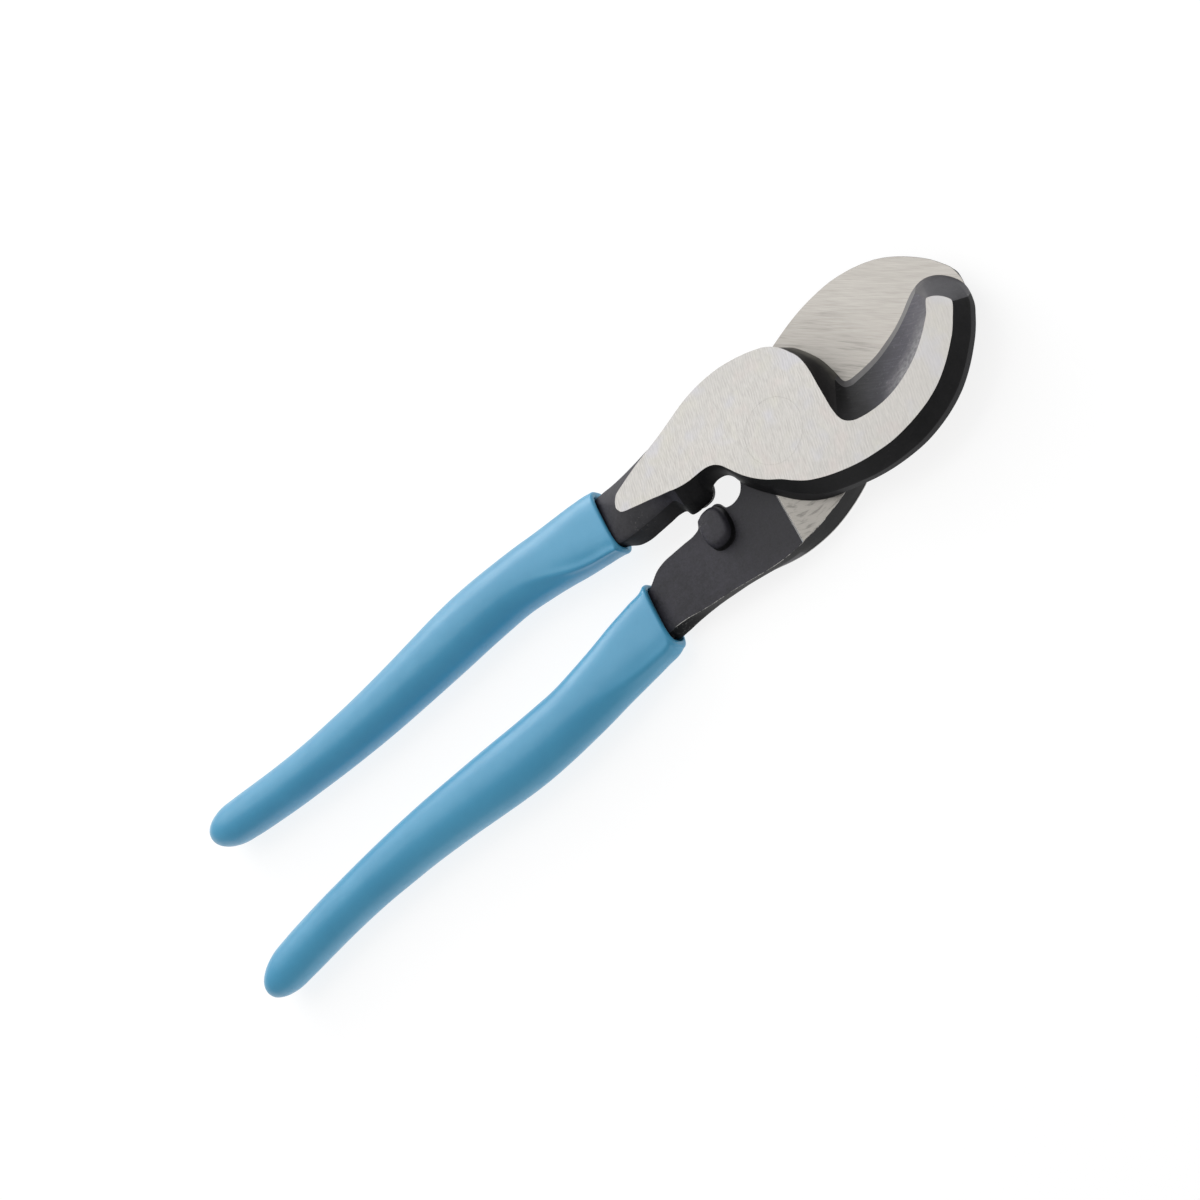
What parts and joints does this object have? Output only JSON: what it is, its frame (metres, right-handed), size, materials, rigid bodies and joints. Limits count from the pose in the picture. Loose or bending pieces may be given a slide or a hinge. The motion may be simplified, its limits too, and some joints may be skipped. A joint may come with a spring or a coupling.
{
  "type": "cable cutter",
  "caption": "Hand cable cutter with hooked overlapping jaws, flush rivet pivot, closing stops on the necks and vinyl sleeved handles.",
  "frame": {"origin": "on the pivot axis, at the ground rear face that the tool lies on", "axes": "+X from the pivot towards the jaws, +Z along the pivot axis out of the front face, +Y towards the front lever's handle"},
  "size_m": [0.2412, 0.0528, 0.012],
  "materials": {
    "forged_steel": "black oxide forging with ground faces",
    "ground_steel": "ground satin",
    "vinyl": "soft satin vinyl"
  },
  "bodies": {
    "rear_half": {"rear_lever": "forged_steel", "pivot_rivet": "ground_steel", "rear_grip": "vinyl"},
    "front_half": {"front_lever": "forged_steel", "front_grip": "vinyl"}
  },
  "joints": [
    {"name": "pivot", "type": "hinge", "parent": "rear_half", "child": "front_half", "pos_m": [0, 0, 0.006], "axis": [0, 0, -1], "range_deg": [0, 50]}
  ]
}
